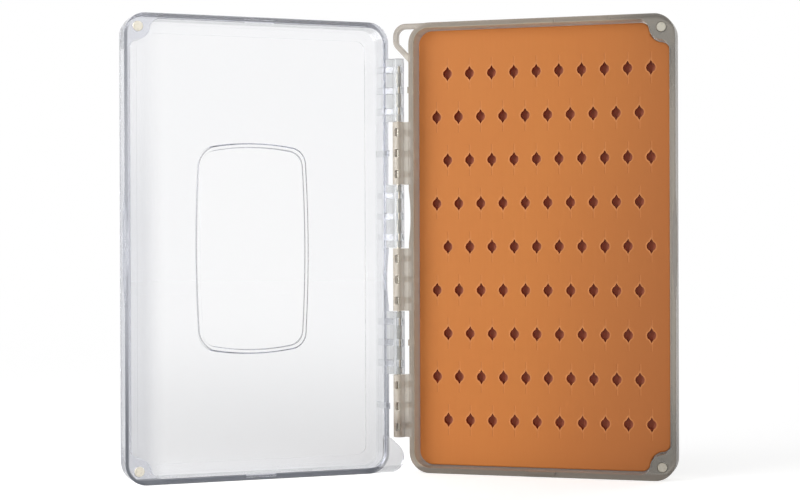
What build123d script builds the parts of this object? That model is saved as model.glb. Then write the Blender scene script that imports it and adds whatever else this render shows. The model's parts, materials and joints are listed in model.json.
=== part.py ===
from build123d import *
from math import acos, atan2, cos, hypot, radians, sin
import os

# A pocket fly box: two shallow trays on one pin hinge, shown open like a book and standing on
# their short ends. The smoke tray holds a silicone pad with slits for hooks, the clear lid has a
# label panel, and two pairs of small magnets hold the box shut.
#
# All sizes are in millimetres. Each half is drawn in its own plane, which lies in the parting
# plane: x runs outward from the hinge axis, y along the axis and z out of the open side.

# ---- Driving dimensions --------------------------------------------------------------------

# Both halves
LENGTH = 184.0            # along the hinge
WIDTH = 108.5             # across, from the hinge wall to the thumb wall
HALF_DEPTH = 12.5         # parting plane to the outside of the floor
WALL = 2.3
FLOOR = 2.0
CORNER_R = 8.5            # outer corners
EDGE_R = 2.6              # rounded edge between wall and floor
RIM_GAP = 0.1             # each rim stops this far short of the parting plane
RIM_EDGE_R = 0.25
OPEN_ANGLE = 144.0        # as it stands open; 180 is flat

# Hinge
AXIS_TO_WALL = 4.25       # hinge axis to the outside of the hinge walls
HINGE_MARGIN = 14.4       # bare wall at each end of the hinge
KNUCKLES_EACH = 3         # knuckles on each half, one half's between the other's
KNUCKLE_GAP = 0.3         # between neighbouring knuckles
BARREL_R = 2.35
WEB_SETBACK = 0.4         # front of the web behind the parting plane
WEB_ROOT = 4.6            # depth of the web where it meets the wall
RIB_ROOT = 10.6           # depth of a rib where it meets the wall
RIB_THICKNESS = 2.5
RIB_PITCH = 8.55
RIBS_EACH = 3             # ribs and pin windows on each knuckle
WINDOW_WIDTH = 1.9        # pin windows, one over each rib
WINDOW_HEIGHT = 3.3
WINDOW_R = 0.6
ROOT_LAP = 1.0            # how far webs, ribs and lugs run into the wall
RELIEF_LENGTH = 23.0      # hollow in the hinge wall, facing the other half's middle knuckle
RELIEF_DEPTH = 0.8
BUMPER_PROUD = 0.5        # small rib on the hinge wall, facing each of its outer knuckles

# Pin
PIN_R = 0.8
PIN_INSET = 3.1           # pin end inside the outermost knuckle's end
PIN_CHAMFER = 0.2
PIN_HOLD_GAP = 0.01       # radial, in the tray's knuckles, which grip the pin
PIN_RUN_GAP = 0.05        # radial, in the lid's knuckles, which turn on it
PIN_END_PLAY = 0.2

# Corner lugs: the lanyard loop on the tray and the tab on the lid
LUG_SETBACK = 1.0         # front of the lug behind the parting plane
LUG_THICKNESS = 2.6
LUG_EDGE_R = 0.6
LUG_SHOULDER = 8.8        # straight end of the lug before its slanted side
LOOP_REACH = 6.8          # tip beyond the hinge wall
LOOP_FOOT = 16.1          # where the slanted side reaches the wall, from the box's end
LOOP_BAND = 2.2
LOOP_TIP_R = 5.2
LOOP_SLANT_R = 4.0
TAB_REACH = 6.95
TAB_FOOT = 15.2
TAB_TIP_R = 5.6
TAB_SLANT_R = 6.5

# Magnets and their bosses
MAGNET_R = 2.0
MAGNET_THICKNESS = 3.0
MAGNET_CHAMFER = 0.2
MAGNET_RECESS = 0.1       # magnet face below the rim
MAGNET_GAP = 0.05         # radial, in the pocket
MAGNET_INSET = 5.45       # centre in from the thumb wall and from the end wall
BOSS_R = 4.85
BOSS_BLEND_R = 4.0        # blend between a boss and the walls

# Rim features
TONGUE_WIDTH = 12.0       # on the tray's end walls, half way across
TONGUE_HEIGHT = 0.8
TONGUE_THICKNESS = 1.1
TONGUE_GAP = 0.2
THUMB_LENGTH = 48.0       # shallow scallop in each thumb wall
THUMB_DEPTH = 1.5
SCALLOP_SLOPE = 14.0      # degrees; a scallop runs out below the rim

# Silicone pad
PAD_THICKNESS = 4.0
PAD_GAP = 0.4             # pad to the walls
PAD_EDGE_R = 0.7
SLIT_ROWS = 9
SLIT_COLUMNS = 10
ROW_PITCH = 17.75
COLUMN_PITCH = 9.25
SLIT_RISE = 0.4           # rows above the middle of the pad
SLIT_R = 1.88             # round middle of a slit
SLIT_HEIGHT = 6.0         # tip to tip
SLIT_WAIST = 1.8          # half width of the pointed ends where they meet the middle
SLIT_DEPTH = 3.2

# Clear lid
LEDGE_INSET = 6.75        # raised border of the lid's floor, from the outside
LEDGE_HEIGHT = 0.5
LEDGE_R = 4.0
LEDGE_BOSS_GAP = 1.0      # border's edge round the magnet bosses
PANEL_WIDTH = 47.1        # label panel in the outside of the floor
PANEL_LENGTH = 85.1
PANEL_END_BULGE = 2.5
PANEL_SIDE_BULGE = 1.4
PANEL_R = 7.0
PANEL_STEP = 0.45         # depth of the outer step, and how far it slopes inward
INNER_STEP_INSET = 1.6    # second, shallower step inside the first
INNER_STEP = 0.2

# ---- Worked-out places ---------------------------------------------------------------------

mid_across = AXIS_TO_WALL + WIDTH / 2
mid_along = LENGTH / 2
thumb_face = AXIS_TO_WALL + WIDTH
knuckle_pitch = (LENGTH - 2 * HINGE_MARGIN) / (2 * KNUCKLES_EACH)
knuckle_starts = [HINGE_MARGIN + 2 * i * knuckle_pitch + KNUCKLE_GAP / 2 for i in range(KNUCKLES_EACH)]
knuckle_length = knuckle_pitch - KNUCKLE_GAP
rib_places = [
    start + knuckle_length / 2 + (i - (RIBS_EACH - 1) / 2) * RIB_PITCH
    for start in knuckle_starts
    for i in range(RIBS_EACH)
]
facing_places = [HINGE_MARGIN + (2 * i + 1.5) * knuckle_pitch for i in range(KNUCKLES_EACH)]
pin_length = LENGTH - 2 * (HINGE_MARGIN + PIN_INSET)
cavity_depth = HALF_DEPTH - FLOOR
magnet_places = [
    (thumb_face - MAGNET_INSET, MAGNET_INSET),
    (thumb_face - MAGNET_INSET, LENGTH - MAGNET_INSET),
]

# The origin is the middle of the footprint of the open box, on the surface that it stands on.
lean = radians(180 - OPEN_ANGLE)
lid_left = (thumb_face - EDGE_R) * cos(lean) + (HALF_DEPTH - EDGE_R) * sin(lean) + EDGE_R
lid_front = thumb_face * sin(lean) - RIM_GAP * cos(lean)
hinge_x = (lid_left - thumb_face) / 2
hinge_y = (lid_front - HALF_DEPTH) / 2

TRAY = Plane(origin=(hinge_x, hinge_y, 0), x_dir=(1, 0, 0), z_dir=(0, -1, 0))
LID = Plane(
    origin=(hinge_x, hinge_y, LENGTH),
    x_dir=(-cos(lean), -sin(lean), 0),
    z_dir=(sin(lean), -cos(lean), 0),
)


def across(half: Plane, along: float) -> Plane:
    """Plane square to the hinge axis: x runs outward and y runs back from the parting plane."""
    return Plane(origin=half.from_local_coords(Vector(0, along, 0)), x_dir=half.x_dir, z_dir=half.y_dir)


def block(half: Plane):
    """Solid outside of one half, with its back edge rounded."""
    with BuildSketch(half.offset(-HALF_DEPTH)) as outside:
        with Locations((mid_across, mid_along)):
            RectangleRounded(WIDTH, LENGTH, CORNER_R)
    extrude(outside.sketch, amount=HALF_DEPTH - RIM_GAP)
    back = faces().sort_by(Axis(half.origin, half.z_dir))[0]
    fillet(back.edges(), EDGE_R)
    rim = faces().sort_by(Axis(half.origin, half.z_dir))[-1]
    fillet(rim.edges(), RIM_EDGE_R)


def inner_outline(half: Plane, depth: float, inset: float, corner_r: float, boss_r: float, blend_r: float):
    """Outline inside the walls at a depth, notched round the two magnet bosses."""
    with BuildSketch(half.offset(-depth)) as inside:
        with Locations((mid_across, mid_along)):
            RectangleRounded(WIDTH - 2 * inset, LENGTH - 2 * inset, corner_r)
        with Locations(*magnet_places):
            Circle(boss_r, mode=Mode.SUBTRACT)
        notch_ends = [
            corner
            for corner in vertices()
            if min((Vector(corner) - Vector(place)).length for place in magnet_places) < boss_r * 1.001
        ]
        fillet(notch_ends, blend_r)
    return inside.sketch


def cavity(half: Plane, depth: float):
    """Hollow of one half, cut down to its floor, with the rim's inner edge rounded."""
    extrude(
        inner_outline(half, depth, WALL, CORNER_R - WALL, BOSS_R, BOSS_BLEND_R),
        amount=depth,
        mode=Mode.SUBTRACT,
    )
    rim = faces().sort_by(Axis(half.origin, half.z_dir))[-1]
    fillet(rim.inner_wires()[0].edges(), RIM_EDGE_R)


def leaf_profile(half: Plane, along: float, root: float):
    """Section of a barrel and the web or rib behind it, clear of the other half's rim."""
    slant = hypot(AXIS_TO_WALL, root)
    tangent = atan2(root, AXIS_TO_WALL) + acos(BARREL_R / slant)
    with BuildSketch(across(half, along)) as profile:
        Circle(BARREL_R)
        Polygon(
            (0, WEB_SETBACK),
            (AXIS_TO_WALL + ROOT_LAP, WEB_SETBACK),
            (AXIS_TO_WALL + ROOT_LAP, root),
            (AXIS_TO_WALL, root),
            (BARREL_R * cos(tangent), BARREL_R * sin(tangent)),
            align=None,
        )
    return profile.sketch


def knuckles(half: Plane):
    """Hinge barrels of one half, each on a web with gusset ribs down the wall."""
    for start in knuckle_starts:
        extrude(leaf_profile(half, start, WEB_ROOT), amount=knuckle_length)
    for place in rib_places:
        extrude(leaf_profile(half, place - RIB_THICKNESS / 2, RIB_ROOT), amount=RIB_THICKNESS)


def pin_windows(half: Plane):
    """Openings in the front of the barrels, over the ribs, that show the pin."""
    with BuildSketch(half) as openings:
        with Locations(*[(0, place) for place in rib_places]):
            RectangleRounded(WINDOW_WIDTH, WINDOW_HEIGHT, WINDOW_R)
    extrude(openings.sketch, amount=BARREL_R, mode=Mode.SUBTRACT)


def pin_bore(half: Plane, start: float, gap: float):
    """Bore for the pin through one half's barrels, from start to past the last one."""
    with BuildSketch(across(half, start)) as bore:
        Circle(PIN_R + gap)
    extrude(bore.sketch, amount=knuckle_starts[-1] + knuckle_pitch - start, mode=Mode.SUBTRACT)


def corner_lug(half: Plane, reach: float, foot: float, tip_r: float, slant_r: float, band: float) -> Part:
    """Flat lug past the hinge wall, flush with the box's end; a band makes it a loop."""
    tip = AXIS_TO_WALL - reach
    inner = AXIS_TO_WALL + CORNER_R
    slope = (foot - LUG_SHOULDER) / reach
    with BuildPart() as lug:
        with BuildSketch(half.offset(-LUG_SETBACK - LUG_THICKNESS)):
            with BuildLine():
                FilletPolyline(
                    (inner, LENGTH),
                    (tip, LENGTH),
                    (tip, LENGTH - LUG_SHOULDER),
                    (inner, LENGTH - foot - slope * CORNER_R),
                    radius=[tip_r, slant_r],
                )
                Line((inner, LENGTH - foot - slope * CORNER_R), (inner, LENGTH))
            make_face()
            if band > 0:
                offset(amount=-band, mode=Mode.SUBTRACT)
        extrude(amount=LUG_THICKNESS)
        faces_by_depth = faces().sort_by(Axis(half.origin, half.z_dir))
        fillet(faces_by_depth[0].edges() + faces_by_depth[-1].edges(), LUG_EDGE_R)
    return lug.part


def magnet_pockets(half: Plane):
    """Round pockets for the magnets in the two bosses."""
    with BuildSketch(half.offset(-RIM_GAP)) as pockets:
        with Locations(*magnet_places):
            Circle(MAGNET_R + MAGNET_GAP)
    extrude(pockets.sketch, amount=-(MAGNET_RECESS + MAGNET_THICKNESS), mode=Mode.SUBTRACT)


def scallop(half: Plane, wall_face: float, outward: int, along: float, length: float, depth: float):
    """Lens-shaped hollow in a long wall, deepest at the rim, from a large tilted cylinder."""
    scallop_r = (length**2 / 4 + depth**2) / (2 * depth)
    slope = radians(SCALLOP_SLOPE)
    away = half.x_dir * outward
    tilted = Plane(
        origin=half.from_local_coords(Vector(wall_face - outward * depth, along, 0)),
        x_dir=away * cos(slope) + half.z_dir * sin(slope),
        z_dir=half.z_dir * cos(slope) - away * sin(slope),
    )
    with BuildSketch(tilted) as relief:
        with Locations((scallop_r, 0)):
            Circle(scallop_r)
    extrude(relief.sketch, amount=HALF_DEPTH, both=True, mode=Mode.SUBTRACT)


def thumb_scallop(half: Plane):
    """Relief that gives a thumb a grip on the rim."""
    scallop(half, thumb_face, 1, mid_along, THUMB_LENGTH, THUMB_DEPTH)


def knuckle_clearance(half: Plane):
    """What faces the other half's knuckles: a hollow at the middle one, a bumper at the others."""
    middle = len(facing_places) // 2
    scallop(half, AXIS_TO_WALL, -1, facing_places[middle], RELIEF_LENGTH, RELIEF_DEPTH)
    others = facing_places[:middle] + facing_places[middle + 1 :]
    with BuildSketch(half.offset(-RIB_ROOT)) as bumpers:
        with Locations(*[(AXIS_TO_WALL + ROOT_LAP, place) for place in others]):
            Rectangle(ROOT_LAP + BUMPER_PROUD, RIB_THICKNESS, align=(Align.MAX, Align.CENTER))
    extrude(bumpers.sketch, amount=RIB_ROOT - RIM_GAP - RIM_EDGE_R)


def end_wall_places(thickness: float) -> list:
    """Middle of a strip of this thickness along the inside of each end wall."""
    inside = WALL - thickness / 2
    return [(mid_across, inside), (mid_across, LENGTH - inside)]


def tongues(half: Plane):
    """Low tongues on the end walls that guide the lid home."""
    with BuildSketch(half.offset(-RIM_GAP - RIM_EDGE_R)) as strips:
        with Locations(*end_wall_places(TONGUE_THICKNESS)):
            Rectangle(TONGUE_WIDTH, TONGUE_THICKNESS)
    extrude(strips.sketch, amount=RIM_GAP + RIM_EDGE_R + TONGUE_HEIGHT)


def tongue_notches(half: Plane):
    """Notches in the lid's end walls that clear the tray's tongues."""
    notch = TONGUE_THICKNESS + TONGUE_GAP
    with BuildSketch(half.offset(-TONGUE_HEIGHT - TONGUE_GAP)) as strips:
        with Locations(*end_wall_places(notch)):
            Rectangle(TONGUE_WIDTH + 2 * TONGUE_GAP, notch)
    extrude(strips.sketch, amount=TONGUE_HEIGHT + TONGUE_GAP, mode=Mode.SUBTRACT)


def panel_outline(inset: float):
    """Label panel: a rectangle with bulging sides and round corners, drawn in the current sketch."""
    half_width = PANEL_WIDTH / 2 - inset
    half_length = PANEL_LENGTH / 2 - inset
    x = half_width - PANEL_SIDE_BULGE
    y = half_length - PANEL_END_BULGE
    with BuildLine() as outline:
        ThreePointArc((-x, -y), (0, -half_length), (x, -y))
        ThreePointArc((x, -y), (half_width, 0), (x, y))
        ThreePointArc((x, y), (0, half_length), (-x, y))
        ThreePointArc((-x, y), (-half_width, 0), (-x, -y))
    with BuildSketch() as panel:
        add(make_face(outline.line))
        fillet(vertices(), PANEL_R - inset)
    return panel.sketch


def sunk_step(half: Plane, inset: float, start: float, depth: float):
    """One step of the panel's recess, sloping in as far as it goes deeper."""
    centre = Vector(mid_across, mid_along, start - HALF_DEPTH)
    back = Plane(origin=half.from_local_coords(centre), x_dir=half.x_dir, z_dir=half.z_dir)
    with BuildSketch(back) as outer:
        add(panel_outline(inset))
    with BuildSketch(back.offset(depth)) as inner:
        add(panel_outline(inset + depth))
    loft([outer.sketch.face(), inner.sketch.face()], mode=Mode.SUBTRACT)


def label_panel(half: Plane):
    """Shallow bare panel in the outside of the lid's floor: a step, and a finer one inside it."""
    sunk_step(half, 0, 0, PANEL_STEP)
    sunk_step(half, INNER_STEP_INSET, PANEL_STEP, INNER_STEP)


def magnet(half: Plane, place: tuple) -> Part:
    """One disc magnet, seated on the bottom of its pocket."""
    with BuildPart() as disc:
        with BuildSketch(half.offset(-RIM_GAP - MAGNET_RECESS - MAGNET_THICKNESS)):
            with Locations(place):
                Circle(MAGNET_R)
        extrude(amount=MAGNET_THICKNESS)
        chamfer(edges().filter_by(GeomType.CIRCLE), MAGNET_CHAMFER)
    return disc.part


# ---- Smoke tray ----------------------------------------------------------------------------

with BuildPart() as base_shell:
    block(TRAY)
    add(corner_lug(TRAY, LOOP_REACH, LOOP_FOOT, LOOP_TIP_R, LOOP_SLANT_R, LOOP_BAND))
    cavity(TRAY, cavity_depth)
    knuckle_clearance(TRAY)
    knuckles(TRAY)
    pin_bore(TRAY, HINGE_MARGIN, PIN_HOLD_GAP)
    pin_windows(TRAY)
    magnet_pockets(TRAY)
    thumb_scallop(TRAY)
    tongues(TRAY)

# ---- Clear lid -----------------------------------------------------------------------------

with BuildPart() as lid_shell:
    block(LID)
    add(corner_lug(LID, TAB_REACH, TAB_FOOT, TAB_TIP_R, TAB_SLANT_R, 0))
    cavity(LID, cavity_depth - LEDGE_HEIGHT)
    extrude(
        inner_outline(LID, cavity_depth, LEDGE_INSET, LEDGE_R, BOSS_R + LEDGE_BOSS_GAP, BOSS_BLEND_R),
        amount=LEDGE_HEIGHT,
        mode=Mode.SUBTRACT,
    )
    knuckle_clearance(LID)
    knuckles(LID)
    pin_bore(LID, HINGE_MARGIN + PIN_INSET - PIN_END_PLAY, PIN_RUN_GAP)
    pin_windows(LID)
    magnet_pockets(LID)
    thumb_scallop(LID)
    tongue_notches(LID)
    label_panel(LID)

# ---- Hinge pin: pushed in from the bottom, where the tray's bore is open --------------------

with BuildPart() as hinge_pin:
    with BuildSketch(across(TRAY, HINGE_MARGIN + PIN_INSET)):
        Circle(PIN_R)
    extrude(amount=pin_length)
    chamfer(edges().filter_by(GeomType.CIRCLE), PIN_CHAMFER)

# ---- Silicone pad: rows of slits, each row half a step across from the next ----------------

with BuildPart() as slit_insert:
    extrude(
        inner_outline(
            TRAY,
            cavity_depth,
            WALL + PAD_GAP,
            CORNER_R - WALL - PAD_GAP,
            BOSS_R + PAD_GAP,
            BOSS_BLEND_R - PAD_GAP,
        ),
        amount=PAD_THICKNESS,
    )
    top = faces().sort_by(Axis(TRAY.origin, TRAY.z_dir))[-1]
    fillet(top.edges(), PAD_EDGE_R)
    with BuildSketch(TRAY.offset(PAD_THICKNESS - cavity_depth)) as slits:
        for row in range(SLIT_ROWS):
            side = 1 if row % 2 == 0 else -1
            row_along = mid_along + SLIT_RISE + ((SLIT_ROWS - 1) / 2 - row) * ROW_PITCH
            with Locations((mid_across + side * COLUMN_PITCH / 4, row_along)):
                with GridLocations(COLUMN_PITCH, ROW_PITCH, SLIT_COLUMNS, 1):
                    Circle(SLIT_R)
                    Polygon(
                        (SLIT_WAIST, 0),
                        (0, SLIT_HEIGHT / 2),
                        (-SLIT_WAIST, 0),
                        (0, -SLIT_HEIGHT / 2),
                        align=None,
                    )
    extrude(slits.sketch, amount=-SLIT_DEPTH, mode=Mode.SUBTRACT)

# ---- Labels and files ----------------------------------------------------------------------

base_shell.part.label = "base_shell"
lid_shell.part.label = "lid_shell"
hinge_pin.part.label = "hinge_pin"
slit_insert.part.label = "slit_insert"

os.makedirs("parts", exist_ok=True)
export_step(base_shell.part, "parts/base_shell.step")
export_step(lid_shell.part, "parts/lid_shell.step")
export_step(hinge_pin.part, "parts/hinge_pin.step")
export_step(slit_insert.part, "parts/slit_insert.step")

# The lid's plane is upside down, so its first magnet place is its upper one.
for half_name, half, ends in (("base", TRAY, ("lower", "upper")), ("lid", LID, ("upper", "lower"))):
    for end, place in zip(ends, magnet_places):
        disc = magnet(half, place)
        disc.label = f"{half_name}_magnet_{end}"
        export_step(disc, f"parts/{disc.label}.step")
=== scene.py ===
"""A pocket fly box that stands open like a book: its finishes, floor, light and camera."""

import json
import logging
from collections.abc import Mapping
from dataclasses import dataclass, field
from enum import Enum
from math import cos, radians, sin
from typing import Any

import bmesh
import bpy
from mathutils import Matrix, Vector


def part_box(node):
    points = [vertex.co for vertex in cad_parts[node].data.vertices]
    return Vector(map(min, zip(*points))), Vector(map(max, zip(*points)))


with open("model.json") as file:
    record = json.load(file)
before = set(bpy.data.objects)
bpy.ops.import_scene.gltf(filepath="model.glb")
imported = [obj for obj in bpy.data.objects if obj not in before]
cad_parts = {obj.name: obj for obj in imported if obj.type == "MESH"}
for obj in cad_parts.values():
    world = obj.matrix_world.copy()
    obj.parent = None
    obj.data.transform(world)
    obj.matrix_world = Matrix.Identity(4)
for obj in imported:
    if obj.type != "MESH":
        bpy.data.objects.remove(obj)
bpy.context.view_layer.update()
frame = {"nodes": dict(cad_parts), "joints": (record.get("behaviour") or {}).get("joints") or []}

logger = logging.getLogger("fly_box")

MM = 0.001
UP = Vector((0, 0, 1))
HINGE = Vector(frame["joints"][0]["pos_m"])
LEAN = radians(36)

Colour = tuple[float, float, float, float]
Ramp = tuple[float, float]


def seen(red: int, green: int, blue: int) -> Colour:
    """Turns a colour as a screen shows it into a shader's colour.

    Args:
        red: red, 0 to 255.
        green: green, 0 to 255.
        blue: blue, 0 to 255.

    Returns:
        The colour in linear light, with an alpha of 1.
    """
    linear = []
    for channel in (red, green, blue):
        value = channel / 255
        linear.append(value / 12.92 if value <= 0.04045 else ((value + 0.055) / 1.055) ** 2.4)
    return (linear[0], linear[1], linear[2], 1.0)


class Wire:
    """A number in a material that changes from point to point.

    It wraps a node's output, and each operator adds a Math node to the same material.
    """

    def __init__(self, bench: "Bench", socket: bpy.types.NodeSocket) -> None:
        """Wraps one output socket of the bench's material."""
        self.bench = bench
        self.socket = socket

    def math(self, operation: str, *values: "Wire | float") -> "Wire":
        """Adds a Math node.

        Args:
            operation: the node's operation.
            values: what goes into it, in order.

        Returns:
            Its result.
        """
        node = self.bench.node(
            "ShaderNodeMath", {"operation": operation}, dict(enumerate(values))
        )
        return Wire(self.bench, node.outputs[0])

    def __add__(self, other: "Wire | float") -> "Wire":
        """self + other."""
        return self.math("ADD", self, other)

    def __radd__(self, other: "Wire | float") -> "Wire":
        """other + self."""
        return self.math("ADD", other, self)

    def __sub__(self, other: "Wire | float") -> "Wire":
        """self - other."""
        return self.math("SUBTRACT", self, other)

    def __rsub__(self, other: "Wire | float") -> "Wire":
        """other - self."""
        return self.math("SUBTRACT", other, self)

    def __mul__(self, other: "Wire | float") -> "Wire":
        """self * other."""
        return self.math("MULTIPLY", self, other)

    def __rmul__(self, other: "Wire | float") -> "Wire":
        """other * self."""
        return self.math("MULTIPLY", other, self)

    def __truediv__(self, other: "Wire | float") -> "Wire":
        """self / other."""
        return self.math("DIVIDE", self, other)

    def __pow__(self, power: "Wire | float") -> "Wire":
        """self to a power."""
        return self.math("POWER", self, power)

    def __rpow__(self, base: "Wire | float") -> "Wire":
        """A number to the power of self."""
        return self.math("POWER", base, self)

    def __mod__(self, step: "Wire | float") -> "Wire":
        """What is left after whole steps, never negative."""
        return self.math("FLOORED_MODULO", self, step)

    def __abs__(self) -> "Wire":
        """The size of self, without its sign."""
        return self.math("ABSOLUTE", self)

    def least(self, other: "Wire | float") -> "Wire":
        """The smaller of self and other."""
        return self.math("MINIMUM", self, other)

    def most(self, other: "Wire | float") -> "Wire":
        """The larger of self and other."""
        return self.math("MAXIMUM", self, other)

    def step(self, low: float, high: float) -> "Wire":
        """Rises smoothly from 0 to 1.

        Args:
            low: what self is where the result is 0.
            high: what self is where the result is 1.

        Returns:
            The result.
        """
        node = self.bench.node(
            "ShaderNodeMapRange",
            {"interpolation_type": "SMOOTHSTEP"},
            {"Value": self, "From Min": low, "From Max": high},
        )
        return Wire(self.bench, node.outputs[0])


class Bench:
    """Where one material, or the world, is put together from nodes."""

    def __init__(self, owner: bpy.types.Material | bpy.types.World) -> None:
        """Starts with an empty node tree in the owner.

        Args:
            owner: the material or world that the nodes belong to.
        """
        self.owner = owner
        owner.use_nodes = True
        self.tree = owner.node_tree
        self.tree.nodes.clear()

    @classmethod
    def material(cls, name: str) -> "Bench":
        """Starts a new material."""
        return cls(bpy.data.materials.new(name))

    def node(
        self,
        kind: str,
        settings: Mapping[str, Any] | None = None,
        values: Mapping[str | int, Any] | None = None,
    ) -> bpy.types.Node:
        """Adds a node.

        Args:
            kind: the node's type.
            settings: its settings, which are set before its sockets.
            values: for its sockets, by name or place, a Wire, an output socket or a plain value.

        Returns:
            The node.
        """
        node = self.tree.nodes.new(kind)
        for name, value in (settings or {}).items():
            setattr(node, name, value)
        for name, value in (values or {}).items():
            source = value.socket if isinstance(value, Wire) else value
            if isinstance(source, bpy.types.NodeSocket):
                self.tree.links.new(source, node.inputs[name])
            else:
                node.inputs[name].default_value = source
        return node

    def wire(self, kind: str, output: str | int, *rest: Mapping) -> Wire:
        """Adds a node and returns one of its outputs as a number."""
        return Wire(self, self.node(kind, *rest).outputs[output])

    def sight(self, *rays: "Ray") -> Wire:
        """Tells some kinds of ray from the others.

        Args:
            rays: the kinds.

        Returns:
            1 for rays of these kinds, and 0 for the others.
        """
        path = self.node("ShaderNodeLightPath")
        found = Wire(self, path.outputs[rays[0].value])
        for ray in rays[1:]:
            found = found.most(Wire(self, path.outputs[ray.value]))
        return found

    def point(self) -> bpy.types.NodeSocket:
        """The shaded point in the object's own coordinates, in metres."""
        return self.node("ShaderNodeTexCoord").outputs["Object"]

    def along(self, direction: Vector, origin: Vector) -> Wire:
        """Measures along a direction.

        Args:
            direction: the direction, of length 1.
            origin: where the measure is 0.

        Returns:
            How far along it the shaded point is, in metres.
        """
        offset = self.node(
            "ShaderNodeVectorMath",
            {"operation": "SUBTRACT"},
            {0: self.point(), 1: tuple(origin)},
        )
        return self.wire(
            "ShaderNodeVectorMath",
            "Value",
            {"operation": "DOT_PRODUCT"},
            {0: offset.outputs["Vector"], 1: tuple(direction)},
        )

    def noise(self, grain: float, detail: float = 2.0, squeeze: Vector = Vector((1, 1, 1))) -> Wire:
        """Noise from 0 to 1.

        Args:
            grain: size of its grains, in metres.
            detail: how many finer layers it has.
            squeeze: how much narrower the grains are along x, y and z.

        Returns:
            The noise.
        """
        place = self.node(
            "ShaderNodeMapping", None, {"Vector": self.point(), "Scale": tuple(squeeze)}
        )
        return self.wire(
            "ShaderNodeTexNoise",
            "Fac",
            None,
            {"Vector": place.outputs["Vector"], "Scale": 1 / grain, "Detail": detail},
        )

    def blend(self, share: Wire | float, first: Any, second: Any) -> bpy.types.NodeSocket:
        """A colour between two colours."""
        node = self.node("ShaderNodeMix", {"data_type": "RGBA"}, {0: share, 6: first, 7: second})
        return node.outputs[2]

    def relief(self, height: Wire, distance: float) -> bpy.types.NodeSocket:
        """The normal of a relief, where a height of 1 stands this far out, in metres."""
        bump = self.node("ShaderNodeBump", None, {"Height": height, "Distance": distance})
        return bump.outputs["Normal"]

    def principled(self, values: Mapping[str, Any]) -> bpy.types.NodeSocket:
        """Adds a Principled shader."""
        return self.node("ShaderNodeBsdfPrincipled", None, values).outputs[0]

    def either(self, share: Wire | float, first: Any, second: Any) -> bpy.types.NodeSocket:
        """Mixes two shaders."""
        return self.node("ShaderNodeMixShader", None, {0: share, 1: first, 2: second}).outputs[0]

    def finish(
        self, surface: bpy.types.NodeSocket, inside: bpy.types.NodeSocket | None = None
    ) -> bpy.types.Material | bpy.types.World:
        """Ends the material or world.

        Args:
            surface: the shader of its surface.
            inside: the shader of what fills it, if anything does.

        Returns:
            The material or world.
        """
        kind = "World" if isinstance(self.owner, bpy.types.World) else "Material"
        end = self.node(f"ShaderNodeOutput{kind}", None, {"Surface": surface})
        if inside is not None:
            self.tree.links.new(inside, end.inputs["Volume"])
        return self.owner


class Ray(Enum):
    """What a ray of light is for, as the Light Path node tells it."""

    CAMERA = "Is Camera Ray"
    MIRROR = "Is Glossy Ray"
    GLASS = "Is Transmission Ray"
    SHADOW = "Is Shadow Ray"


def round_cornered(side: Wire, end: Wire, corner: float) -> Wire:
    """Rounds the corners of an outline.

    Args:
        side: how far a point is past the outline's sides.
        end: how far it is past the outline's ends.
        corner: the radius of the corners.

    Returns:
        How far the point is outside the rounded outline, negative inside it.
    """
    past_side, past_end = (side + corner).most(0), (end + corner).most(0)
    past = (past_side * past_side + past_end * past_end) ** 0.5
    return past + (side.most(end) + corner).least(0) - corner


@dataclass(frozen=True)
class Rim:
    """Where one half of the box has its rim: the hinge, two directions and the outline."""

    hinge: Vector
    out: Vector
    face: Vector
    length: float = 184 * MM
    reach: float = 108.5 * MM
    hinge_wall: float = 4.25 * MM
    corner: float = 8.5 * MM

    def across(self, bench: Bench) -> Wire:
        """How far a point is from the half's middle, away from the hinge."""
        return bench.along(self.out, self.hinge) - (self.hinge_wall + self.reach / 2)

    def hinge_side(self, bench: Bench, near: float, off: float) -> Wire:
        """1 up to one distance from the hinge side's wall, falling to 0 at the other."""
        return 1 - self.across(bench).step(near - self.reach / 2, off - self.reach / 2)

    def outside(self, bench: Bench) -> Wire:
        """Measures from the half's outline.

        Args:
            bench: the material.

        Returns:
            How far a point is outside the outline, negative inside it.
        """
        side = abs(self.across(bench)) - self.reach / 2
        end = abs(self.height(bench)) - self.length / 2
        return round_cornered(side, end, self.corner)

    def height(self, bench: Bench) -> Wire:
        """How far a point is above the middle of the half."""
        return bench.along(UP, Vector((0, 0, self.length / 2)))

    def depth(self, bench: Bench) -> Wire:
        """How far a point is behind the plane of the rim."""
        return 0 - bench.along(self.face, self.hinge)


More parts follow.
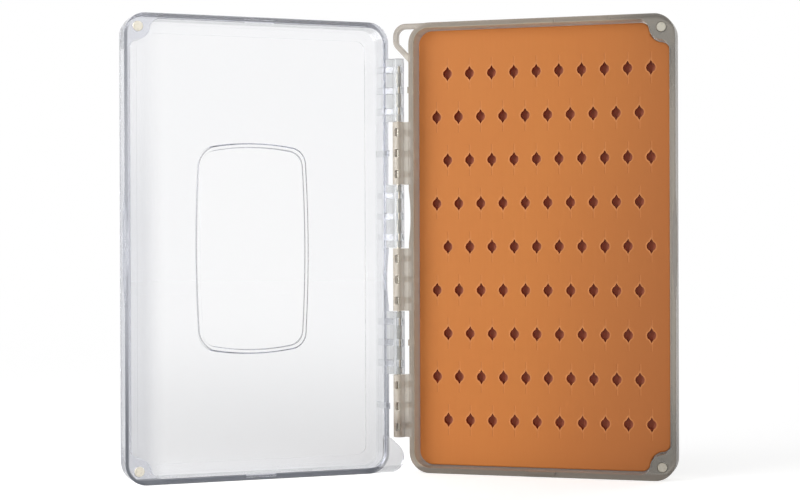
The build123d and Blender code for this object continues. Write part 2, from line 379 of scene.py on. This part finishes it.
@dataclass(frozen=True)
class LabelPanel:
    """The bare panel in the outside of a floor, with bulging sides; its step and a second line inside
    it are painted as fine dark lines of painted shade.
    """

    width: float = 47.1 * MM
    length: float = 85.1 * MM
    side_bulge: float = 1.4 * MM
    end_bulge: float = 2.5 * MM
    corner: float = 7.0 * MM
    inner_line_inset: float = 1.7 * MM
    behind: float = 11.5 * MM
    outer_line: float = 0.5
    inner_line: float = 0.4
    outer_inset: float = 0.2 * MM
    line_half_width: Ramp = (0.15 * MM, 0.4 * MM)
    from_hinge_to_far: Ramp = (-0.6, 0.9)
    floor_depth: float = 0.2 * MM

    def line(self, bench: Bench, rim: Rim) -> Wire:
        """Where fine dark lines of painted shade go: at the panel's step on the far side, and a little
        inside it towards the hinge.

        Args:
            bench: the material.
            rim: where the half has its rim.

        Returns:
            How strongly a point is on such a line.
        """
        across, up = rim.across(bench), rim.height(bench)
        half_width, half_length = self.width / 2, self.length / 2
        along_side = up / (half_length - self.end_bulge)
        along_end = across / (half_width - self.side_bulge)
        side = abs(across) - half_width + along_side * along_side * self.side_bulge
        end = abs(up) - half_length + along_end * along_end * self.end_bulge
        outside = round_cornered(side, end, self.corner)
        far = across.step(*(share * half_width for share in self.from_hinge_to_far))
        # painted shade: the step's dark line on the far side, and a second painted line inside it
        # towards the hinge
        outer = 1 - abs(outside + self.outer_inset).step(*self.line_half_width)
        inner = 1 - abs(outside + self.inner_line_inset).step(*self.line_half_width)
        shown = (outer * far * self.outer_line).most(inner * (1 - far) * self.inner_line)
        return shown * rim.depth(bench).step(self.behind, self.behind + self.floor_depth)


@dataclass(frozen=True)
class RimLine:
    """Painted shade: a dark line painted round the rim where its edge shows dark, and a dark band
    painted at the foot.
    """

    strength: float
    hinge_strength: float
    hinge_foot: float
    hinge_top: float
    foot_shade_strength: float
    behind_rim: Ramp = (0.4 * MM, 1.4 * MM)
    by_hinge: Ramp = (3 * MM, 6 * MM)
    starts: Ramp = (-1.6 * MM, -0.9 * MM)
    stops: Ramp = (0.1 * MM, 0.5 * MM)
    hinge_half_width: Ramp = (0.3 * MM, 0.7 * MM)
    lost_by_hinge: float = 0.8
    middle_to_foot: Ramp = (-80 * MM, -20 * MM)
    middle_to_top: Ramp = (30 * MM, 80 * MM)
    top_share: float = 0.6
    ends_share: float = 0.6
    foot_height: Ramp = (2.2 * MM, 3.2 * MM)
    under_top: Ramp = (8 * MM, 3 * MM)

    def line(self, bench: Bench, rim: Rim) -> Wire:
        """Where the painted-shade line goes: strongest at both ends, and set in beside the hinge, with
        a painted-shade band at the foot.

        Args:
            bench: the material.
            rim: where the half has its rim.

        Returns:
            How strongly a point is on the line.
        """
        outside, height, half_length = rim.outside(bench), rim.height(bench), rim.length / 2
        beside = rim.hinge_side(bench, *self.by_hinge)
        outer_edge = outside.step(*self.starts) * (1 - outside.step(*self.stops))
        upper = height.step(-half_length, half_length)
        inset = upper * (self.hinge_top - self.hinge_foot) + self.hinge_foot
        inner_edge = (1 - abs(outside + inset).step(*self.hinge_half_width)) * self.hinge_strength
        edge = (outer_edge * (1 - beside * self.lost_by_hinge)).most(inner_edge * beside)
        at_foot = 1 - height.step(*self.middle_to_foot)
        ends = at_foot.most(height.step(*self.middle_to_top) * self.top_share)
        # painted shade along the foot of the half
        foot = 1 - height.step(*(above - half_length for above in self.foot_height))
        below_top = 1 - height.step(*(half_length - under for under in self.under_top))
        along = ends * self.ends_share + (1 - self.ends_share)
        around = edge * along * below_top * self.strength
        near_rim = 1 - rim.depth(bench).step(*self.behind_rim)
        return near_rim * around.most(foot * self.foot_shade_strength)


@dataclass(frozen=True)
class WallEdges:
    """Painted shade: walls painted darker where they are seen edge on, less so on some sides of the
    half, and less at the top, which is painted as lit.
    """

    share: float
    within: float
    hinge_clear: float
    far_clear: float
    top_lit_share: float
    by_hinge: Ramp = (5 * MM, 12 * MM)
    inside_far: Ramp = (4 * MM, 2 * MM)
    under_top: Ramp = (8 * MM, 5 * MM)
    fade: float = 0.5 * MM
    turned_away: Ramp = (0.45, 1.0)

    def painted_wall_shade(self, bench: Bench, rim: Rim) -> Wire:
        """How much painted shade the walls take.

        Args:
            bench: the material.
            rim: where the half has its rim.

        Returns:
            The share of the dark edge's finish.
        """
        half_reach, half_length = rim.reach / 2, rim.length / 2
        beside = rim.hinge_side(bench, *self.by_hinge)
        far = rim.across(bench).step(*(half_reach - inside for inside in self.inside_far))
        top = rim.height(bench).step(*(half_length - under for under in self.under_top))
        walls = rim.outside(bench).step(-self.within, self.fade - self.within)
        clear = (1 - beside * self.hinge_clear) * (1 - far * self.far_clear)
        facing = bench.wire("ShaderNodeLayerWeight", "Facing", None, {"Blend": 0.5})
        # painted shade where walls turn edge on, lessened at the top as painted light
        return facing.step(*self.turned_away) * walls * clear * (1 - top * self.top_lit_share) * self.share


@dataclass(frozen=True)
class Clouding:
    """How cloudy a plastic is, all over and in the knuckles, and how much painted shade darkens it
    along the far wall, more towards the foot.
    """

    haze: float
    flank_shade: float
    knuckle_haze: float
    inside_far: Ramp = (19 * MM, 9 * MM)
    up_the_flank: Ramp = (0, 80 * MM)
    lost_up_the_flank: float = 0.5
    past_wall: Ramp = (0.1 * MM, 0.5 * MM)
    above_tab: Ramp = (-72 * MM, -66 * MM)
    below_loop: Ramp = (78 * MM, 80 * MM)

    def far_flank(self, bench: Bench, rim: Rim) -> Wire:
        """Finds the flank, which takes painted shade.

        Args:
            bench: the material.
            rim: where the half has its rim.

        Returns:
            1 along the wall opposite the hinge, falling to 0 over the floor beside it.
        """
        across = rim.across(bench).step(*(rim.reach / 2 - inside for inside in self.inside_far))
        upper = rim.height(bench).step(*self.up_the_flank)
        return across * (1 - upper * self.lost_up_the_flank)

    def knuckles(self, bench: Bench, rim: Rim) -> Wire:
        """Finds the hinge's knuckles.

        Args:
            bench: the material.
            rim: where the half has its rim.

        Returns:
            1 on the knuckles, 0 on the walls, the corner tab and the lanyard loop.
        """
        beyond = rim.outside(bench).step(*self.past_wall)
        height = rim.height(bench)
        return beyond * height.step(*self.above_tab) * (1 - height.step(*self.below_loop))

    def share(self, bench: Bench, rim: Rim) -> Wire:
        """How much of the plastic looks cloudy.

        Args:
            bench: the material.
            rim: where the half has its rim.

        Returns:
            The share of the cloudy finish.
        """
        # painted shade along the far flank
        flank = self.far_flank(bench, rim) * self.flank_shade
        return flank + self.knuckles(bench, rim) * self.knuckle_haze + self.haze


@dataclass(frozen=True)
class LitWalls:
    """The inner walls that the light reaches and the lip's inner edge, where the clouding takes
    painted light: painted light on the walls, a painted highlight on the lip.
    """

    by_hinge: Ramp = (3 * MM, 4 * MM)
    under_top: Ramp = (5 * MM, 4 * MM)
    wall_inset: float = 2.6 * MM
    wall_half_width: Ramp = (0.6 * MM, 0.9 * MM)
    lip_inset: float = 2.2 * MM
    lip_half_width: Ramp = (0.15 * MM, 0.4 * MM)
    lip_depth: Ramp = (0.5 * MM, 1.0 * MM)
    lip_highlight_share: float = 0.8

    def places(self, bench: Bench, rim: Rim) -> Wire:
        """Finds them.

        Args:
            bench: the material.
            rim: where the half has its rim.

        Returns:
            1 on the walls, a little less on the lip and 0 elsewhere.
        """
        outside, below_lip = rim.outside(bench), rim.depth(bench).step(*self.lip_depth)
        top = rim.height(bench).step(*(rim.length / 2 - under for under in self.under_top))
        lit = rim.hinge_side(bench, *self.by_hinge).most(top)
        inner = (1 - abs(outside + self.wall_inset).step(*self.wall_half_width)) * below_lip
        lip = (1 - abs(outside + self.lip_inset).step(*self.lip_half_width)) * (1 - below_lip)
        return (inner * lit).most(lip * self.lip_highlight_share)


@dataclass(frozen=True)
class Tints:
    """The colours of a plastic's clouding, which carry painted light on the lit walls, painted shade
    along the far flank and in the far corners, and a painted-shade dark edge, and where its far
    corners begin.
    """

    haze: Colour
    wall: Colour
    flank: Colour
    knuckle: Colour
    corner: Colour
    edge: Colour
    paler: float = 1.16
    corner_across: float = 0.2
    corner_up: float = 0.25
    corner_inside_far: float = 6 * MM
    corner_inside_end: float = 10 * MM
    corner_depth: Ramp = (4 * MM, 9 * MM)

    def pale(self) -> Colour:
        """The haze's colour in its paler streaks."""
        red, green, blue = (min(1.0, part * self.paler) for part in self.haze[:3])
        return (red, green, blue, 1.0)

    def corners(self, bench: Bench, rim: Rim) -> Wire:
        """Finds the corners away from the hinge, which take painted shade.

        Args:
            bench: the material.
            rim: where the half has its rim.

        Returns:
            1 in the corners' front part, falling to 0 towards the middle and the back.
        """
        far = rim.across(bench).step(
            rim.reach * self.corner_across, rim.reach / 2 - self.corner_inside_far
        )
        end = abs(rim.height(bench)).step(
            rim.length * self.corner_up, rim.length / 2 - self.corner_inside_end
        )
        return far * end * (1 - rim.depth(bench).step(*self.corner_depth))


@dataclass(frozen=True)
class MouldedPlastic:
    """A moulded see-through plastic: the deeper the light goes, the more of it is taken."""

    name: str
    rim: Rim
    absorbed: Colour
    clouding: Clouding
    tints: Tints
    wall_edges: WallEdges
    rim_line: RimLine
    roughness: float
    shade: float
    straight: float
    peel: float
    panel: LabelPanel | None = None
    lit_walls: LitWalls = LitWalls()
    density: float = 200
    index: float = 1.49
    flow_grain: float = 14 * MM
    skin_grain: float = 0.9 * MM
    skin_share: float = 0.12
    streak_grain: float = 6 * MM
    cloud_grain: float = 2.5 * MM
    edge_roughness: float = 0.3

    def tint(self, bench: Bench) -> bpy.types.NodeSocket:
        """The colour of the clouding.

        Args:
            bench: the material.

        Returns:
            The colour from place to place.
        """
        streaks = bench.noise(self.streak_grain, 3.0, Vector((1, 1, 0.12)))
        tint = bench.blend(streaks, self.tints.haze, self.tints.pale())
        # painted light on the inner walls that the light reaches, and a painted highlight on the lip's
        # inner edge
        tint = bench.blend(self.lit_walls.places(bench, self.rim), tint, self.tints.wall)
        # painted shade: a greyer colour along the far flank, stronger towards the foot
        tint = bench.blend(self.clouding.far_flank(bench, self.rim), tint, self.tints.flank)
        tint = bench.blend(self.clouding.knuckles(bench, self.rim), tint, self.tints.knuckle)
        # painted shade in the corners away from the hinge
        return bench.blend(self.tints.corners(bench, self.rim), tint, self.tints.corner)

    def dark(self, bench: Bench) -> Wire:
        """How much of the surface shows as a dark edge of painted shade.

        Args:
            bench: the material.

        Returns:
            The share of the dark edge's finish.
        """
        dark = self.wall_edges.painted_wall_shade(bench, self.rim).most(self.rim_line.line(bench, self.rim))
        if self.panel:
            dark = dark.most(self.panel.line(bench, self.rim))
        return dark

    def material(self) -> bpy.types.Material:
        """Puts the material together.

        Returns:
            The material.
        """
        bench = Bench.material(self.name)
        flow = bench.noise(self.flow_grain, 1.0) + bench.noise(self.skin_grain, 2.0) * self.skin_share
        skin = bench.relief(flow, self.peel)
        glass = bench.principled(
            {
                "Base Color": (1, 1, 1, 1),
                "Roughness": self.roughness,
                "IOR": self.index,
                "Transmission Weight": 1.0,
                "Normal": skin,
            }
        )
        cloud = bench.principled(
            {
                "Base Color": self.tint(bench),
                "Roughness": bench.noise(self.cloud_grain) * 0.2 + 0.25,
                "IOR": self.index,
                "Normal": skin,
            }
        )
        edge = bench.principled(
            {"Base Color": self.tints.edge, "Roughness": self.edge_roughness, "IOR": self.index}
        )
        body = bench.either(self.clouding.share(bench, self.rim), glass, cloud)
        straight = bench.node("ShaderNodeBsdfTransparent", None, {"Color": (1, 1, 1, 1)})
        body = bench.either(self.straight, body, straight.outputs[0])
        # painted shade: the dark edge finish over the walls, the rim line and the panel lines
        body = bench.either(self.dark(bench), body, edge)
        shade = (self.shade, self.shade, self.shade, 1)
        window = bench.node("ShaderNodeBsdfTransparent", None, {"Color": shade})
        surface = bench.either(bench.sight(Ray.SHADOW), body, window.outputs[0])
        inside = bench.node(
            "ShaderNodeVolumeAbsorption", None, {"Color": self.absorbed, "Density": self.density}
        )
        return bench.finish(surface, inside.outputs[0])


@dataclass(frozen=True)
class SiliconeRubber:
    """Matte silicone with knife slits, whose insides are dark: the slits' lips and a line beside each
    cut carry a painted highlight, and the cuts and the slits' walls carry painted shade.
    """

    middle: Vector
    front: float
    rows: int = 9
    row_pitch: float = 17.75 * MM
    columns: int = 10
    column_pitch: float = 9.25 * MM
    slit_radius: float = 1.88 * MM
    slit_half_width: float = 1.8 * MM
    slit_half_height: float = 3.0 * MM
    cut_reach: float = 9.0 * MM
    depth: float = 3.2 * MM
    colour: Colour = seen(208, 129, 60)
    warm: Colour = seen(201, 119, 53)
    # painted shade: the pad is painted darker towards its side away from the hinge, where the light
    # falls off
    far_side_shade: Colour = seen(177, 105, 51)
    # painted highlight: the lighter colour of the slits' lips and of the line beside each cut
    lip_highlight_colour: Colour = seen(228, 154, 94)
    # painted shade: the darker colour inside the knife cuts
    cut_shade_colour: Colour = seen(176, 101, 50)
    # painted shade: the slits' walls are painted darker; the bottoms below them go back to a greyer,
    # pinker tone
    hole_wall_shade: Colour = seen(170, 74, 16)
    bottom_colour: Colour = seen(202, 126, 98)
    lip_width: Ramp = (0.05 * MM, 0.75 * MM)
    cut_width: Ramp = (0.05 * MM, 0.2 * MM)
    # where the painted highlight beside each knife cut sits, and how wide it is
    cut_highlight_offset: float = 0.32 * MM
    cut_highlight_width: Ramp = (0.05 * MM, 0.25 * MM)
    past_last: float = 0.1
    cut_fades_from: float = 0.7
    streak_grain: float = 1.1 * MM
    patch_grain: float = 30 * MM
    fine_grain: float = 0.25 * MM
    face_depth: float = 0.35 * MM
    painted_falloff: Ramp = (-15 * MM, 65 * MM)
    painted_falloff_share: float = 0.9
    wall_depth: Ramp = (0.2 * MM, 1.2 * MM)
    over_bottom: Ramp = (0.5 * MM, 0.1 * MM)
    relief: float = 0.05 * MM

    def slits(self, bench: Bench, lean: int) -> tuple[Wire, Wire]:
        """Tells how far a point is from the slits of every other row.

        Args:
            bench: the material.
            lean: 1 for the rows that sit a little to the right, -1 for those between them.

        Returns:
            The distance to the nearest such slit's outline, and how far the point is across from
            the nearest such slit's knife cut, negative on the left; both are large past the rows.
        """
        across = bench.along(Vector((1, 0, 0)), self.middle) - lean * self.column_pitch / 4
        up = bench.along(UP, self.middle)
        du = across % self.column_pitch - self.column_pitch / 2
        pair = 2 * self.row_pitch
        dv = (up + (self.row_pitch if lean > 0 else 0.0)) % pair - self.row_pitch
        ring = (du * du + dv * dv) ** 0.5 - self.slit_radius
        slope = (self.slit_half_width**-2 + self.slit_half_height**-2) ** -0.5
        points = (abs(du) / self.slit_half_width + abs(dv) / self.slit_half_height - 1) * slope
        past_rows = abs(up).step(
            self.row_pitch * (self.rows / 2 - self.past_last), self.row_pitch * (self.rows / 2)
        )
        past_columns = abs(across).step(
            self.column_pitch * (self.columns / 2 - self.past_last),
            self.column_pitch * (self.columns / 2),
        )
        away = past_rows.most(past_columns)
        past_cut = abs(dv).step(self.cut_reach * self.cut_fades_from, self.cut_reach)
        return ring.least(points) + away, du + past_cut.most(away)

    def material(self) -> bpy.types.Material:
        """Puts the material together.

        Returns:
            The material.
        """
        bench = Bench.material("orange_silicone")
        high, low = self.slits(bench, 1), self.slits(bench, -1)
        outline = high[0].least(low[0])
        lip = 1 - outline.step(*self.lip_width)
        cut = 1 - abs(high[1]).least(abs(low[1])).step(*self.cut_width)
        right_of_cut = abs(high[1] - self.cut_highlight_offset).least(abs(low[1] - self.cut_highlight_offset))
        beside = 1 - right_of_cut.step(*self.cut_highlight_width)
        streaks = bench.noise(self.streak_grain, 3.0, Vector((1, 1, 0.05)))
        patches = bench.noise(self.patch_grain, 2.0)
        depth = bench.along(Vector((0, 1, 0)), Vector((0, self.front, 0)))
        face = 1 - depth.step(0.0, self.face_depth)
        colour = bench.blend(patches * 0.6 + streaks * 0.4, self.colour, self.warm)
        # painted shade: darker towards the pad's side away from the hinge
        across = bench.along(Vector((1, 0, -0.2)), self.middle)
        painted_falloff = across.step(*self.painted_falloff) * self.painted_falloff_share
        colour = bench.blend(painted_falloff, colour, self.far_side_shade)
        # painted highlight on the slits' lips, and along the right side of each knife cut
        colour = bench.blend(lip * face * 0.55, colour, self.lip_highlight_colour)
        colour = bench.blend(beside * face * streaks * 0.5, colour, self.lip_highlight_colour)
        # painted shade darkens each knife cut
        colour = bench.blend(cut * face * (patches * 0.8), colour, self.cut_shade_colour)
        # painted shade on the slits' walls, then the bottoms' own tone
        colour = bench.blend(depth.step(*self.wall_depth), colour, self.hole_wall_shade)
        bottom = depth.step(*(self.depth - over for over in self.over_bottom))
        colour = bench.blend(bottom, colour, self.bottom_colour)
        grain = bench.noise(self.fine_grain, 2.0)
        height = streaks * 0.5 + grain * 0.2 + lip * 0.8 - cut * 0.9
        return bench.finish(
            bench.principled(
                {
                    "Base Color": colour,
                    "Roughness": grain * 0.2 + 0.5,
                    "Normal": bench.relief(height, self.relief),
                    "Specular IOR Level": 0.35,
                    "Sheen Weight": 0.08,
                    "Sheen Roughness": 0.4,
                }
            )
        )


@dataclass(frozen=True)
class Nickel:
    """Nickel plating, slightly clouded."""

    name: str
    colour: Colour
    worn: Colour
    cloud_grain: float = 1.3 * MM
    fine_grain: float = 0.12 * MM
    relief: float = 0.004 * MM

    def material(self) -> bpy.types.Material:
        """Puts the material together.

        Returns:
            The material.
        """
        bench = Bench.material(self.name)
        clouds = bench.noise(self.cloud_grain, 3.0)
        grain = bench.noise(self.fine_grain, 2.0)
        return bench.finish(
            bench.principled(
                {
                    "Base Color": bench.blend(clouds.step(0.45, 0.75), self.colour, self.worn),
                    "Metallic": 1.0,
                    "Roughness": clouds * 0.2 + 0.26,
                    "Normal": bench.relief(grain, self.relief),
                }
            )
        )


@dataclass(frozen=True)
class DrawnSteel:
    """Steel wire with the fine lengthwise marks of the die."""

    colour: Colour = (0.40, 0.375, 0.32, 1.0)
    bright: Colour = (0.62, 0.59, 0.52, 1.0)
    mark_width: float = 0.16 * MM
    relief: float = 0.006 * MM

    def material(self) -> bpy.types.Material:
        """Puts the material together.

        Returns:
            The material.
        """
        bench = Bench.material("pin_steel")
        marks = bench.noise(self.mark_width, 3.0, Vector((1, 1, 0.02)))
        return bench.finish(
            bench.principled(
                {
                    "Base Color": bench.blend(marks, self.colour, self.bright),
                    "Metallic": 1.0,
                    "Roughness": marks * 0.12 + 0.08,
                    "Normal": bench.relief(marks, self.relief),
                }
            )
        )


def dress(node: str, material: bpy.types.Material) -> None:
    """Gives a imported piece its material.

    Args:
        node: the piece's name.
        material: its material.
    """
    piece = frame["nodes"][node]
    piece.data.materials.clear()
    piece.data.materials.append(material)
    logger.info("%s is finished in %s", node, material.name)


@dataclass
class SmokeTray:
    """The tray of the box, in translucent smoke plastic, with its hook pad."""

    plastic: MouldedPlastic = MouldedPlastic(
        name="smoke_plastic",
        rim=Rim(HINGE, Vector((1, 0, 0)), Vector((0, -1, 0))),
        absorbed=(0.835, 0.805, 0.75, 1.0),
        clouding=Clouding(haze=0.58, flank_shade=0.0, knuckle_haze=0.04),
        tints=Tints(
            haze=seen(162, 151, 137),
            # painted light: the lighter colour of the lit inner walls and of the lip's highlight
            wall=seen(205, 188, 158),
            flank=seen(162, 154, 142),
            knuckle=seen(211, 202, 188),
            # painted shade: the dark colour of the tray's far corners
            corner=seen(100, 98, 94),
            # painted shade: the colour of the tray's dark edges
            edge=seen(118, 111, 102),
        ),
        wall_edges=WallEdges(
            share=0.3, within=60 * MM, hinge_clear=1.0, far_clear=0.0, top_lit_share=0.8
        ),
        rim_line=RimLine(
            strength=0.2,
            hinge_strength=1.0,
            hinge_foot=2.0 * MM,
            hinge_top=2.0 * MM,
            foot_shade_strength=0.9,
        ),
        roughness=0.22,
        shade=0.7,
        straight=0.12,
        peel=0.012 * MM,
    )
    row_rise: float = 0.4 * MM

    def build(self) -> None:
        """Dresses the tray and its pad."""
        dress("base_shell", self.plastic.material())
        lowest, highest = (Vector(corner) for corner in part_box("slit_insert"))
        middle = (lowest + highest) / 2 + UP * self.row_rise
        dress("slit_insert", SiliconeRubber(middle, lowest.y).material())


@dataclass
class ClearLid:
    """The lid of the box, in clear plastic with a cool tint."""

    plastic: MouldedPlastic = MouldedPlastic(
        name="clear_plastic",
        rim=Rim(
            HINGE,
            Vector((-cos(LEAN), -sin(LEAN), 0)),
            Vector((sin(LEAN), -cos(LEAN), 0)),
        ),
        absorbed=(0.90, 0.905, 0.93, 1.0),
        clouding=Clouding(haze=0.035, flank_shade=0.17, knuckle_haze=0.25),
        tints=Tints(
            haze=seen(236, 238, 241),
            wall=seen(236, 238, 241),
            # painted shade: the grey painted along the lid's far flank
            flank=seen(186, 189, 197),
            knuckle=seen(165, 168, 166),
            corner=seen(236, 238, 241),
            # painted shade: the colour of the lid's dark edges and lines
            edge=seen(84, 90, 99),
        ),
        wall_edges=WallEdges(
            share=0.4, within=3.2 * MM, hinge_clear=0.0, far_clear=0.6, top_lit_share=0.45
        ),
        rim_line=RimLine(
            strength=0.85,
            hinge_strength=0.6,
            hinge_foot=0.7 * MM,
            hinge_top=1.5 * MM,
            foot_shade_strength=0.7,
        ),
        roughness=0.012,
        shade=0.93,
        straight=0.08,
        peel=0.003 * MM,
        panel=LabelPanel(),
    )

    def build(self) -> None:
        """Dresses the lid."""
        dress("lid_shell", self.plastic.material())


@dataclass
class Hardware:
    """The hinge's steel pin and the two pairs of nickel-plated magnets, whose one nickel comes in two
    painted copies: a darker one for the tray as painted shade, a brighter one for the lid as painted
    light.
    """

    ends: tuple[str, ...] = ("upper", "lower")
    # painted shade and painted light: one nickel painted darker for the tray's magnets and brighter
    # for the lid's
    shaded_tray_plating: Nickel = Nickel("nickel", (0.47, 0.445, 0.38, 1.0), (0.37, 0.35, 0.29, 1.0))
    lit_lid_plating: Nickel = Nickel("painted_lit_nickel", (0.90, 0.85, 0.73, 1.0), (0.74, 0.69, 0.58, 1.0))

    def build(self) -> None:
        """Dresses the pin and the magnets."""
        dress("hinge_pin", DrawnSteel().material())
        for half, plating in (("base", self.shaded_tray_plating), ("lid", self.lit_lid_plating)):
            nickel = plating.material()
            for end in self.ends:
                dress(f"{half}_magnet_{end}", nickel)


@dataclass(frozen=True)
class Lamp:
    """One square soft lamp that points at the middle of the box."""

    name: str
    place: Vector
    side: float
    power: float

    def hang(self, target: Vector) -> None:
        """Hangs the lamp.

        Args:
            target: where it points.
        """
        light = bpy.data.lights.new(self.name, "AREA")
        light.size = self.side
        light.energy = self.power
        holder = bpy.data.objects.new(self.name, light)
        holder.location = self.place
        holder.rotation_euler = (target - self.place).to_track_quat("-Z", "Y").to_euler()
        bpy.context.scene.collection.objects.link(holder)


@dataclass(frozen=True)
class Viewpoint:
    """The camera before the hinge, a little to the right of square to the tray."""

    turn: float = radians(15.86)
    pitch: float = radians(-0.151)
    roll: float = radians(0.192)
    aside_mm: float = 0.53
    distance_mm: float = 681.6
    height: float = 92.97 * MM
    lens: float = 74.8
    sensor: float = 36

    def place(self) -> None:
        """Places the camera."""
        right = Vector((cos(self.turn), sin(self.turn), 0))
        away = Vector((-sin(self.turn), cos(self.turn), 0))
        stand = HINGE + right * self.aside_mm * MM - away * self.distance_mm * MM
        stand.z = self.height
        look = away * cos(self.pitch) + UP * sin(self.pitch)
        level_up = right.cross(look)
        up = level_up * cos(self.roll) + right * sin(self.roll)
        side = right * cos(self.roll) - level_up * sin(self.roll)
        camera = bpy.data.cameras.new("camera")
        camera.lens = self.lens
        camera.sensor_width = self.sensor
        holder = bpy.data.objects.new("camera", camera)
        bpy.context.scene.collection.objects.link(holder)
        turned = Matrix((side, up, -look)).transposed().to_4x4()
        holder.matrix_world = Matrix.Translation(stand) @ turned
        bpy.context.scene.camera = holder


@dataclass
class Studio:
    """A white floor and surroundings, soft lamps and the camera."""

    camera: Viewpoint = Viewpoint()
    floor_side: float = 12.0
    daylight: float = 0.35
    through_glass: float = 0.985
    floor_white: float = 0.86
    floor_lift: float = 0.44
    floor_glow: float = 0.03
    near_left_at_a_metre: float = 0.05
    lamp_target: Vector = field(default_factory=lambda: Vector((0, 0, 0.09)))
    lamps: tuple[Lamp, ...] = (
        Lamp("key_lamp", Vector((-0.45, -0.50, 0.30)), 0.5, 4.4),
        Lamp("back_lamp", Vector((1.2, 2.6, 2.0)), 2.0, 36.0),
    )

    def build(self) -> None:
        """Builds everything round the box."""
        self.lay_floor()
        self.light_surroundings()
        for lamp in self.lamps:
            lamp.hang(self.lamp_target)
        self.camera.place()

    def whiteness(self, bench: Bench) -> Wire:
        """Makes the surroundings white to look at and plainer as a light.

        Args:
            bench: the material or world.

        Returns:
            How bright they are for each kind of ray.
        """
        looked_at = bench.sight(Ray.CAMERA)
        met = bench.sight(Ray.MIRROR, Ray.GLASS)
        return looked_at.most(met * (self.through_glass - self.daylight) + self.daylight)

    def lay_floor(self) -> None:
        """Lays the floor: it takes the box's shadow, and further off it fades into the white."""
        shape = bmesh.new()
        bmesh.ops.create_grid(shape, x_segments=1, y_segments=1, size=self.floor_side / 2)
        mesh = bpy.data.meshes.new("floor")
        shape.to_mesh(mesh)
        shape.free()
        floor = bpy.data.objects.new("floor", mesh)
        bpy.context.scene.collection.objects.link(floor)
        bench = Bench.material("white_floor")
        white = (self.floor_white, self.floor_white, self.floor_white, 1)
        matte = bench.node("ShaderNodeBsdfDiffuse", None, {"Color": white})
        lift = bench.sight(Ray.CAMERA) * self.floor_lift + self.floor_glow
        glow = bench.node("ShaderNodeEmission", None, {"Strength": lift})
        near = bench.node("ShaderNodeAddShader", None, {0: matte.outputs[0], 1: glow.outputs[0]})
        far = bench.node("ShaderNodeEmission", None, {"Strength": self.whiteness(bench)})
        across = bench.along(Vector((1, 0, 0)), Vector((0, 0, 0)))
        back = bench.along(Vector((0, 1, 0)), Vector((0, 0, 0)))
        reach = (across * across + back * back) ** 0.5
        fade = 1 - self.near_left_at_a_metre**reach
        mesh.materials.append(bench.finish(bench.either(fade, near.outputs[0], far.outputs[0])))

    def light_surroundings(self) -> None:
        """Makes the surroundings white to look at, and a plain soft light to stand in."""
        world = bpy.data.worlds.new("studio")
        bpy.context.scene.world = world
        bench = Bench(world)
        white = bench.node(
            "ShaderNodeBackground", None, {"Color": (1, 1, 1, 1), "Strength": self.whiteness(bench)}
        )
        bench.finish(white.outputs[0])


def main() -> None:
    """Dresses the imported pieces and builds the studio."""
    logging.basicConfig(level=logging.INFO)
    for part in (SmokeTray(), ClearLid(), Hardware(), Studio()):
        part.build()
    bpy.context.scene.view_settings.view_transform = "Standard"


if __name__ == "__main__":
    main()
